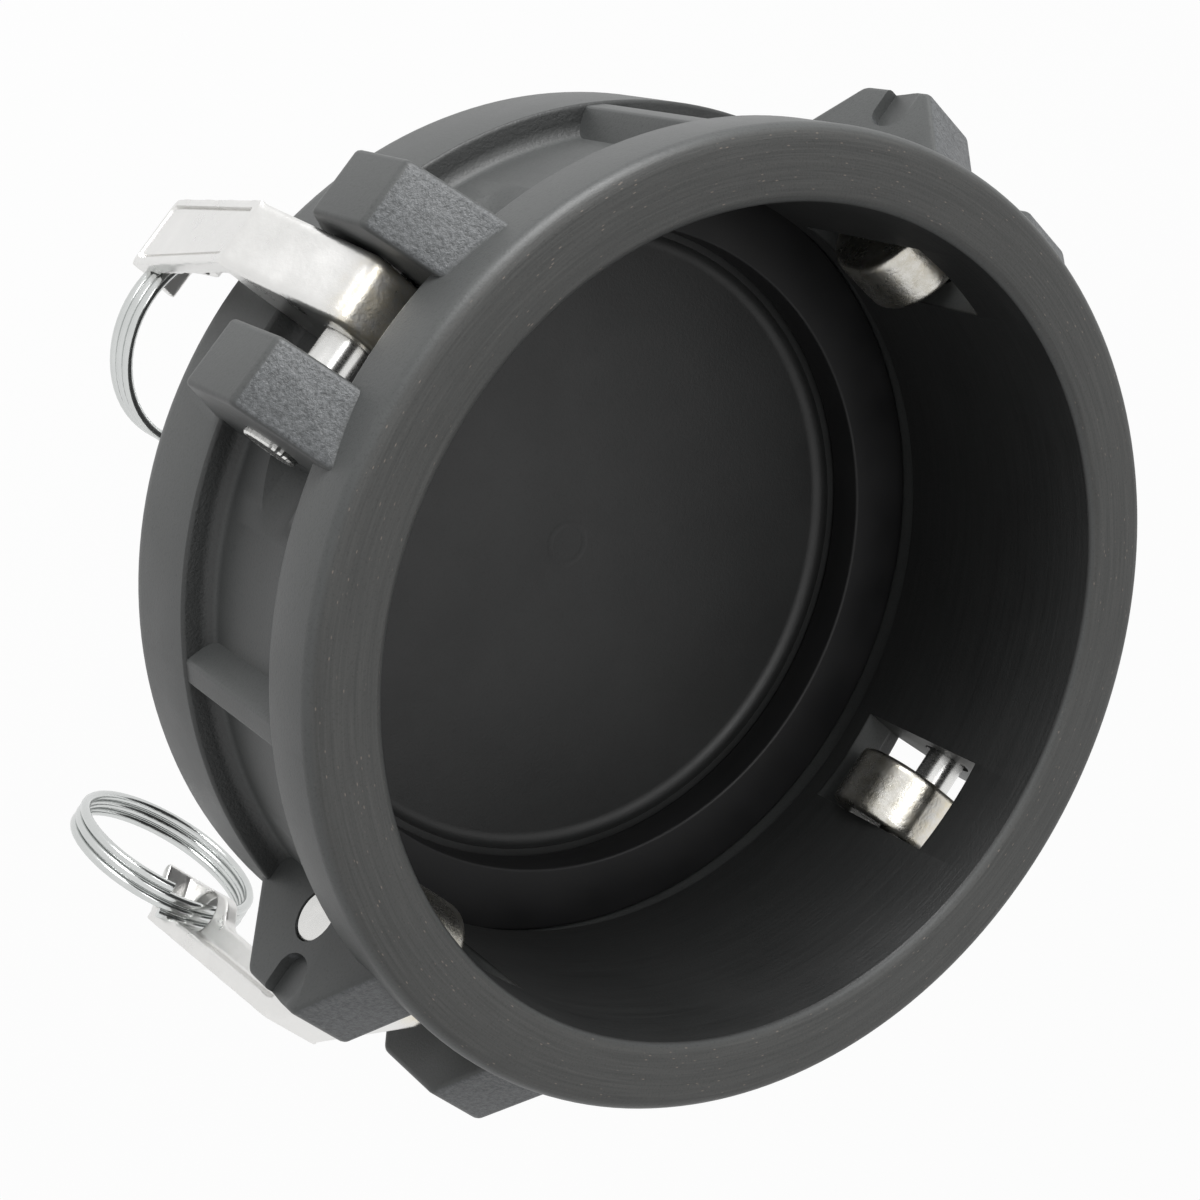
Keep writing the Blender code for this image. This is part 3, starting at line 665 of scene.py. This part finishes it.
class Nodes:
    """Short ways to build a node material. With place, the coordinates are those before that move."""

    def __init__(self, name, place=None):
        self.mat = bpy.data.materials.new(name)
        self.mat.use_nodes = True
        self.tree = self.mat.node_tree
        self.shader = self.tree.nodes["Principled BSDF"]
        self.coords = self.tree.nodes.new("ShaderNodeTexCoord").outputs["Object"]
        if place is not None:
            local = self.tree.nodes.new("ShaderNodeMapping")
            local.vector_type = "TEXTURE"
            local.inputs["Location"].default_value = place.to_translation()
            local.inputs["Rotation"].default_value = place.to_euler()
            self.tree.links.new(self.coords, local.inputs["Vector"])
            self.coords = local.outputs[0]

    def wire(self, source, socket):
        if isinstance(source, (int, float, tuple)):
            socket.default_value = source
        else:
            self.tree.links.new(source, socket)

    def math(self, operation, a, b=0.0):
        node = self.tree.nodes.new("ShaderNodeMath")
        node.operation = operation
        self.wire(a, node.inputs[0])
        self.wire(b, node.inputs[1])
        return node.outputs[0]

    def product(self, first, *others):
        for value in others:
            first = self.math("MULTIPLY", first, value)
        return first

    def total(self, first, *others):
        for value in others:
            first = self.math("ADD", first, value)
        return first

    def ramp(self, value, low, high, out_low=0.0, out_high=1.0):
        node = self.tree.nodes.new("ShaderNodeMapRange")
        node.clamp = True
        self.wire(value, node.inputs["Value"])
        numbers = (low, high, out_low, out_high)
        for key, number in zip(("From Min", "From Max", "To Min", "To Max"), numbers):
            node.inputs[key].default_value = number
        return node.outputs[0]

    def band(self, place, base, fade):
        """0 at base plus the fade's first number and 1 at base plus its second, in millimetres."""
        return self.ramp(place, (base + fade[0]) * MM, (base + fade[1]) * MM)

    def scaled(self, x, y, z):
        node = self.tree.nodes.new("ShaderNodeVectorMath")
        node.operation = "MULTIPLY"
        self.wire(self.coords, node.inputs[0])
        node.inputs[1].default_value = (x, y, z)
        return node.outputs[0]

    def split(self, vector=None):
        node = self.tree.nodes.new("ShaderNodeSeparateXYZ")
        self.wire(vector or self.coords, node.inputs[0])
        return node.outputs[0], node.outputs[1], node.outputs[2]

    def drawn_out(self, across, fine, broad):
        """Coordinates that change fast with across and slowly along the surface."""
        x, y, _ = self.split()
        node = self.tree.nodes.new("ShaderNodeCombineXYZ")
        for value, scale, socket in zip((across, x, y), (fine, broad, broad), node.inputs):
            self.wire(self.product(value, scale), socket)
        return node.outputs[0]

    def noise(self, vector, scale, detail=2.0, rough=0.5):
        node = self.tree.nodes.new("ShaderNodeTexNoise")
        self.wire(vector, node.inputs["Vector"])
        node.inputs["Scale"].default_value = scale
        node.inputs["Detail"].default_value = detail
        node.inputs["Roughness"].default_value = rough
        return node.outputs["Fac"]

    def cells(self, vector, scale):
        node = self.tree.nodes.new("ShaderNodeTexVoronoi")
        self.wire(vector, node.inputs["Vector"])
        node.inputs["Scale"].default_value = scale
        return node.outputs["Distance"]

    def face_normal(self):
        return self.tree.nodes.new("ShaderNodeNewGeometry").outputs["Normal"]

    def mix(self, factor, a, b):
        node = self.tree.nodes.new("ShaderNodeMix")
        node.data_type = "RGBA"
        self.wire(factor, node.inputs["Factor"])
        for source, key in ((a, "A"), (b, "B")):
            self.wire((*source, 1.0) if isinstance(source, tuple) else source, node.inputs[key])
        return node.outputs["Result"]

    def bump(self, height, strength=1.0, distance=MM):
        node = self.tree.nodes.new("ShaderNodeBump")
        node.inputs["Distance"].default_value = distance
        self.wire(strength, node.inputs["Strength"])
        self.wire(height, node.inputs["Height"])
        return node.outputs[0]

    def finish(self, base, roughness, normal, metallic=0.0):
        self.wire(base, self.shader.inputs["Base Color"])
        self.wire(roughness, self.shader.inputs["Roughness"])
        self.wire(normal, self.shader.inputs["Normal"])
        self.shader.inputs["Metallic"].default_value = metallic
        return self.mat


# Where most of a noise's values lie, and its narrower middle
SPREAD = (0.3, 0.7)
MIDDLE = (0.35, 0.65)

# Plastic: shades in linear red, green and blue from dark to light, and heights in millimetres
BLACK = (0.0, 0.0, 0.0)
MOULDED_SHADES = ((0.048, 0.0505, 0.0505), (0.060, 0.063, 0.062))
SLOPE_SHADES = ((0.050, 0.053, 0.055), (0.105, 0.110, 0.114))
RIM_SHADES = ((0.027, 0.028, 0.027), (0.055, 0.0555, 0.053))
# Inside the cup: turned marks over painted shade, far darker than the same plastic outside
INSIDE_PAINTED_SHADE_AND_TURNED_MARKS = ((0.0125, 0.0130, 0.0130), (0.0205, 0.0212, 0.0210))
SPECK_COLOUR = (0.36, 0.29, 0.24)
SPECK_SHARE = 0.30
# Painted shade on the back shoulder's face, darkening it towards black
SHOULDER_PAINTED_SHADE = 0.45
PORE_SHADE = 0.3025
MOULDED_ROUGHNESS = (0.42, 0.52)
RIM_ROUGHNESS = 0.08
GRAIN_HEIGHTS = (0.035, 0.10)
COARSE_HEIGHTS = (0.02, 0.17)
RIM_STREAK_HEIGHT = 0.07
BORE_RING_HEIGHT = 0.05
GATE_HEIGHT = 0.03

# Where the plastic's finishes and its painted shade come in, in millimetres from the faces they belong to
RIM_FACE_FADE = (-0.9, -0.3)
MOUTH_FADE = (-0.2, 0.4)
INSIDE_FADE = (0.4, 0.1)
BORE_FADE = (-0.4, -0.2)
EAR_FADE = (-0.3, 0.5)
SHOULDER_TOP_FADE = (3.8, 2.8)
SHOULDER_WALL_FADE = (0.2, 0.6)
GATE_FADE = (0.6, 0.2)

# How much a face looks along the axis where a slope or the shoulder begins and ends
SLOPE_BEGINS = (0.50, 0.62)
SLOPE_ENDS = (0.86, 0.78)
SHOULDER_BEGINS = (0.15, 0.35)
SHOULDER_COARSENESS = 0.4

# The values of a noise between which pores, specks, patches and turned marks come in
PORE_LIMITS = (0.48, 0.30)
SPECK_LIMITS = (0.16, 0.08)
PATCH_LIMITS = (0.44, 0.54)
STREAK_LIMITS = (0.25, 0.75)
RING_LIMITS = (0.3, 0.75)


def moulded_plastic():
    """Glass-filled black plastic: moulded grain outside, turned marks at the rim and bore, a gate's mark,
    and painted shade inside the cup and on the back shoulder.
    """
    n = Nodes("cap_plastic")
    x, y, z = n.split()
    radius = n.math("SQRT", n.total(n.product(x, x), n.product(y, y)))
    lift = n.split(n.face_normal())[2]
    tilt = n.math("ABSOLUTE", lift)

    # The parts of the cup that have a finish of their own, and where shade is painted inside the cup and on
    # the back shoulder
    rim = n.product(n.band(z, RIM_FACE, RIM_FACE_FADE), n.band(radius, BORE_R, MOUTH_FADE))
    inside = n.band(radius, BORE_R, INSIDE_FADE)
    bore = n.product(inside, n.band(radius, BORE_R, BORE_FADE))
    ear = n.band(radius, RIM_R, EAR_FADE)
    slope = n.product(ear, n.ramp(tilt, *SLOPE_BEGINS), n.ramp(tilt, *SLOPE_ENDS))
    shoulder = n.product(n.band(z, BACK_SHOULDER_HEIGHT, SHOULDER_TOP_FADE),
                         n.band(radius, WALL_R, SHOULDER_WALL_FADE), n.ramp(lift, *SHOULDER_BEGINS))
    coarse_skin = n.math("MAXIMUM", slope, n.product(shoulder, SHOULDER_COARSENESS))
    gate = n.band(n.math("ABSOLUTE", n.total(radius, -GATE_R * MM)), 0.0, GATE_FADE)

    streaks = n.noise(n.drawn_out(radius, fine=2300.0, broad=60.0), scale=1.0, detail=4.0, rough=0.65)
    rings = n.noise(n.drawn_out(z, fine=1700.0, broad=45.0), scale=1.0, detail=4.0, rough=0.65)
    cloud = n.noise(n.coords, scale=55.0, detail=4.0, rough=0.6)
    grain = n.noise(n.coords, scale=2700.0, detail=3.0, rough=0.65)
    coarse = n.noise(n.coords, scale=1500.0, detail=3.0, rough=0.65)
    flecks = n.cells(n.drawn_out(radius, fine=1500.0, broad=520.0), scale=1.0)
    patches = n.noise(n.coords, scale=500.0, detail=1.0)
    specks = n.product(n.ramp(flecks, *SPECK_LIMITS), n.ramp(patches, *PATCH_LIMITS), rim)

    base = n.mix(n.ramp(cloud, *SPREAD), *MOULDED_SHADES)
    base = n.mix(slope, base, n.mix(n.ramp(coarse, *MIDDLE), *SLOPE_SHADES))
    base = n.mix(rim, base, n.mix(n.ramp(streaks, *STREAK_LIMITS), *RIM_SHADES))
    # Painted shade: the inside of the cup darkened, with its turned marks
    base = n.mix(inside, base, n.mix(n.ramp(rings, *RING_LIMITS), *INSIDE_PAINTED_SHADE_AND_TURNED_MARKS))
    # Painted shade on the back shoulder
    base = n.mix(n.product(shoulder, SHOULDER_PAINTED_SHADE), base, BLACK)
    base = n.mix(n.ramp(grain, *PORE_LIMITS, 0.0, PORE_SHADE), base, BLACK)
    base = n.mix(n.product(specks, SPECK_SHARE), base, SPECK_COLOUR)
    rough = n.total(n.ramp(cloud, *SPREAD, *MOULDED_ROUGHNESS), n.product(rim, RIM_ROUGHNESS))
    height = n.total(n.product(grain, n.ramp(coarse_skin, 0.0, 1.0, *GRAIN_HEIGHTS)),
                     n.product(coarse, n.ramp(coarse_skin, 0.0, 1.0, *COARSE_HEIGHTS)),
                     n.product(rim, RIM_STREAK_HEIGHT, streaks),
                     n.product(bore, BORE_RING_HEIGHT, rings),
                     n.product(gate, -GATE_HEIGHT))
    return n.finish(base, rough, n.bump(height))


RUBBER_SHADES = ((0.006, 0.006, 0.0065), (0.012, 0.012, 0.0125))
RUBBER_ROUGHNESS = (0.45, 0.6)
RUBBER_SPECULAR = 0.35
RUBBER_GRAIN_HEIGHT = 0.06


def rubber():
    n = Nodes("cap_rubber")
    cloud = n.noise(n.coords, scale=90.0, detail=3.0)
    base = n.mix(cloud, *RUBBER_SHADES)
    normal = n.bump(n.noise(n.coords, scale=1800.0, detail=2.0), strength=0.25,
                    distance=RUBBER_GRAIN_HEIGHT * MM)
    n.shader.inputs["Specular IOR Level"].default_value = RUBBER_SPECULAR
    return n.finish(base, n.ramp(cloud, *SPREAD, *RUBBER_ROUGHNESS), normal)


# Cast steel: the painted reflections' shares and the heights in millimetres
CAST_SHADES = ((0.76, 0.755, 0.74), (0.83, 0.825, 0.81))
# Painted reflection on the lobe: darker and brownish grey, for the dark bore it faces
LOBE_PAINTED_REFLECTION = (0.50, 0.475, 0.41)
LOBE_SHARES = (0.45, 1.0)
# Painted reflection on the head's front: a warm yellow-brown cast
FRONT_PAINTED_REFLECTION = (0.78, 0.69, 0.50)
FRONT_SHARES = (0.10, 0.75)
CAST_ROUGHNESS = (0.22, 0.34)
CAST_FINE_ROUGHNESS = 0.08
LOBE_POLISH = 0.04
CAST_SOFT_HEIGHT = 0.10
CAST_FINE_HEIGHT = 0.04
PIT_HEIGHT = 0.005
PIT_LIMITS = (0.16, 0.02)

# Where the painted reflections on the lobe and the head's front come in, in millimetres from the pin, the
# head's front and the heel
LOBE_INWARD_FADE = (-1.5, -4.5)
LOBE_FRONT_FADE = (-0.1, -0.7)
FRONT_FADE = (-5.7, -0.7)
FRONT_INWARD_FADE = (-8.0, -1.0)
FRONT_HEEL_FADE = (1.9, -1.1)


def cast_steel(key, place):
    """Tumbled stainless casting: soft undulation, a granular skin, and painted reflections, dark brownish
    grey on the lobe and warm on the head's front.
    """
    n = Nodes("cap_cast_steel_" + key, place)
    out, _, forward = n.split()
    soft = n.noise(n.coords, scale=160.0, detail=4.0, rough=0.6)
    fine = n.noise(n.coords, scale=1700.0, detail=4.0, rough=0.65)
    blotch = n.noise(n.coords, scale=420.0, detail=4.0, rough=0.7)
    pits = n.ramp(n.cells(n.coords, scale=700.0), *PIT_LIMITS)
    lobe = n.product(n.band(out, 0.0, LOBE_INWARD_FADE), n.band(forward, HEAD_FRONT, LOBE_FRONT_FADE))
    front = n.product(n.band(forward, HEAD_FRONT, FRONT_FADE), n.band(out, 0.0, FRONT_INWARD_FADE),
                      n.band(out, HEEL_OUT, FRONT_HEEL_FADE))

    base = n.mix(n.ramp(soft, *SPREAD), *CAST_SHADES)
    # Painted reflection: the lobe darkened towards brownish grey
    base = n.mix(n.product(lobe, n.ramp(blotch, *MIDDLE, *LOBE_SHARES)), base, LOBE_PAINTED_REFLECTION)
    # Painted reflection: a warm yellow-brown cast on the head's front
    base = n.mix(n.product(front, n.ramp(blotch, *MIDDLE, *FRONT_SHARES)), base, FRONT_PAINTED_REFLECTION)
    rough = n.total(n.ramp(soft, *SPREAD, *CAST_ROUGHNESS), n.product(fine, CAST_FINE_ROUGHNESS),
                    n.product(lobe, -LOBE_POLISH))
    height = n.total(n.product(soft, CAST_SOFT_HEIGHT), n.product(fine, CAST_FINE_HEIGHT),
                     n.product(pits, -PIT_HEIGHT))
    return n.finish(base, rough, n.bump(height), metallic=1.0)


PIN_SHADES = ((0.66, 0.66, 0.65), (0.78, 0.775, 0.755))
PIN_ROUGHNESS = (0.24, 0.30)
PIN_LINE_HEIGHT = 0.0004
PIN_CLOUD_HEIGHT = 0.003


def pin_steel():
    n = Nodes("cap_pin_steel")
    lines = n.noise(n.scaled(900.0, 2600.0, 900.0), scale=1.0, detail=2.0)
    cloud = n.noise(n.coords, scale=300.0, detail=3.0)
    height = n.total(n.product(lines, PIN_LINE_HEIGHT), n.product(cloud, PIN_CLOUD_HEIGHT))
    return n.finish(n.mix(cloud, *PIN_SHADES), n.ramp(lines, *SPREAD, *PIN_ROUGHNESS),
                    n.bump(height), metallic=1.0)


WIRE_SHADES = ((0.56, 0.575, 0.57), (0.68, 0.695, 0.685))
WIRE_ROUGHNESS = (0.12, 0.22)
WIRE_CLOUD_HEIGHT = 0.02
WIRE_FINE_HEIGHT = 0.004


def wire_steel():
    n = Nodes("cap_ring_steel")
    cloud = n.noise(n.coords, scale=260.0, detail=3.0)
    fine = n.noise(n.coords, scale=2400.0, detail=2.0)
    height = n.total(n.product(cloud, WIRE_CLOUD_HEIGHT), n.product(fine, WIRE_FINE_HEIGHT))
    return n.finish(n.mix(cloud, *WIRE_SHADES), n.ramp(cloud, *SPREAD, *WIRE_ROUGHNESS),
                    n.bump(height), metallic=1.0)


# Assembly

def dress(obj, mat, node, body):
    obj.data.materials.clear()
    obj.data.materials.append(mat)
    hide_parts(node)
    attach(obj, body)


def moved(mesh, matrix):
    """A copy of the mesh with the move baked in, so that its object can sit at the origin."""
    copy = mesh.copy()
    copy.transform(matrix)
    return copy


def build():
    bright, wire = pin_steel(), wire_steel()
    dress(make_cup(), moulded_plastic(), "body", "cup")
    dress(make_gasket(), rubber(), "gasket", "cup")
    arm, pin, ring = arm_mesh(), pin_mesh(), ring_mesh()
    for (key, spec), turn in zip(ARM_LAYOUT.items(), quarter_turns()):
        place = arm_matrix(spec)
        pin_piece = link("pivot_pin_" + key, pin)
        pin_piece.matrix_world = turn @ Matrix.Translation((PIN_R * MM, 0.0, PIN_Z * MM))
        dress(pin_piece, bright, "pin_" + key, "cup")
        arm_piece = link("cam_arm_" + key, moved(arm, place))
        dress(arm_piece, cast_steel(key, place), "arm_" + key, "lever_" + key)
        ring_piece = link("pull_ring_" + key, moved(ring, ring_matrix(spec)))
        dress(ring_piece, wire, "ring_" + key, "loop_" + key)


# Floor, light and camera, in metres, with the lens in millimetres
FLOOR_HALF = 6.0
FLOOR_DEPTH = -0.42
FLOOR_GREY = (0.60, 0.60, 0.60, 1.0)
FLOOR_WHITE_SHARE = 0.95
WORLD_LIGHT = 0.62
WORLD_SEEN = 1.0
CAMERA_RIGHT = Vector((0.56384268, -0.62256196, 0.54267673))
CAMERA_UP = Vector((0.81345431, 0.53220016, -0.23463818))
CAMERA_SPOT = (-0.04264065, 0.19471006, 0.27836528)
CAMERA_LENS = 65.83
CAMERA_SHIFT = (-0.0278, -0.0556)


def seen_rays(tree):
    """1 for rays that show the background: straight to the camera, mirrored or through glass."""
    path = tree.nodes.new("ShaderNodeLightPath")
    seen = path.outputs["Is Camera Ray"]
    for kind in ("Is Glossy Ray", "Is Transmission Ray"):
        node = tree.nodes.new("ShaderNodeMath")
        node.operation = "MAXIMUM"
        tree.links.new(seen, node.inputs[0])
        tree.links.new(path.outputs[kind], node.inputs[1])
        seen = node.outputs[0]
    return seen


def pale_floor():
    """A matt floor under the cup that shows almost plain white."""
    bm = bmesh.new()
    corners = ((-1, -1), (1, -1), (1, 1), (-1, 1))
    bm.faces.new([bm.verts.new((x * FLOOR_HALF, y * FLOOR_HALF, FLOOR_DEPTH)) for x, y in corners])
    floor = link("floor", mesh_from(bm, "floor"))
    mat = bpy.data.materials.new("floor_white")
    mat.use_nodes = True
    tree = mat.node_tree
    tree.nodes.clear()
    matt = tree.nodes.new("ShaderNodeBsdfDiffuse")
    matt.inputs["Color"].default_value = FLOOR_GREY
    white = tree.nodes.new("ShaderNodeEmission")
    share = tree.nodes.new("ShaderNodeMath")
    share.operation = "MULTIPLY"
    share.inputs[1].default_value = FLOOR_WHITE_SHARE
    tree.links.new(seen_rays(tree), share.inputs[0])
    mix = tree.nodes.new("ShaderNodeMixShader")
    out = tree.nodes.new("ShaderNodeOutputMaterial")
    tree.links.new(share.outputs[0], mix.inputs[0])
    tree.links.new(matt.outputs[0], mix.inputs[1])
    tree.links.new(white.outputs[0], mix.inputs[2])
    tree.links.new(mix.outputs[0], out.inputs["Surface"])
    floor.data.materials.append(mat)


def studio_world():
    world = bpy.data.worlds.new("studio")
    bpy.context.scene.world = world
    world.use_nodes = True
    tree = world.node_tree
    tree.nodes.clear()
    back = tree.nodes.new("ShaderNodeBackground")
    back.inputs["Color"].default_value = (1.0, 1.0, 1.0, 1.0)
    strength = tree.nodes.new("ShaderNodeMapRange")
    strength.inputs["To Min"].default_value = WORLD_LIGHT
    strength.inputs["To Max"].default_value = WORLD_SEEN
    tree.links.new(seen_rays(tree), strength.inputs["Value"])
    tree.links.new(strength.outputs[0], back.inputs["Strength"])
    out = tree.nodes.new("ShaderNodeOutputWorld")
    tree.links.new(back.outputs[0], out.inputs["Surface"])


def area_light(name, place, target, size, power):
    lamp = bpy.data.lights.new(name, "AREA")
    lamp.shape = "DISK"
    lamp.size = size
    lamp.energy = power
    obj = link(name, lamp)
    obj.location = place
    obj.rotation_euler = (Vector(target) - Vector(place)).to_track_quat("-Z", "Y").to_euler()


def camera():
    back = CAMERA_RIGHT.cross(CAMERA_UP)
    cam = bpy.data.cameras.new("camera")
    cam.sensor_width = 36.0
    cam.lens = CAMERA_LENS
    cam.shift_x, cam.shift_y = CAMERA_SHIFT
    cam.clip_start = 0.01
    obj = link("camera", cam)
    rows = [list(row) for row in zip(CAMERA_RIGHT, CAMERA_UP, back, CAMERA_SPOT)]
    obj.matrix_world = Matrix(rows + [[0, 0, 0, 1]])
    bpy.context.scene.camera = obj


build()
pale_floor()
studio_world()
area_light("top", place=(0.48, 0.57, 0.16), target=(0.0, 0.0, 0.02), size=0.45, power=6.3)
area_light("front", place=(0.30, 0.35, 0.95), target=(0.0, 0.0, 0.0), size=0.5, power=2.4)
camera()
bpy.context.scene.view_settings.view_transform = "Standard"
bpy.context.view_layer.update()
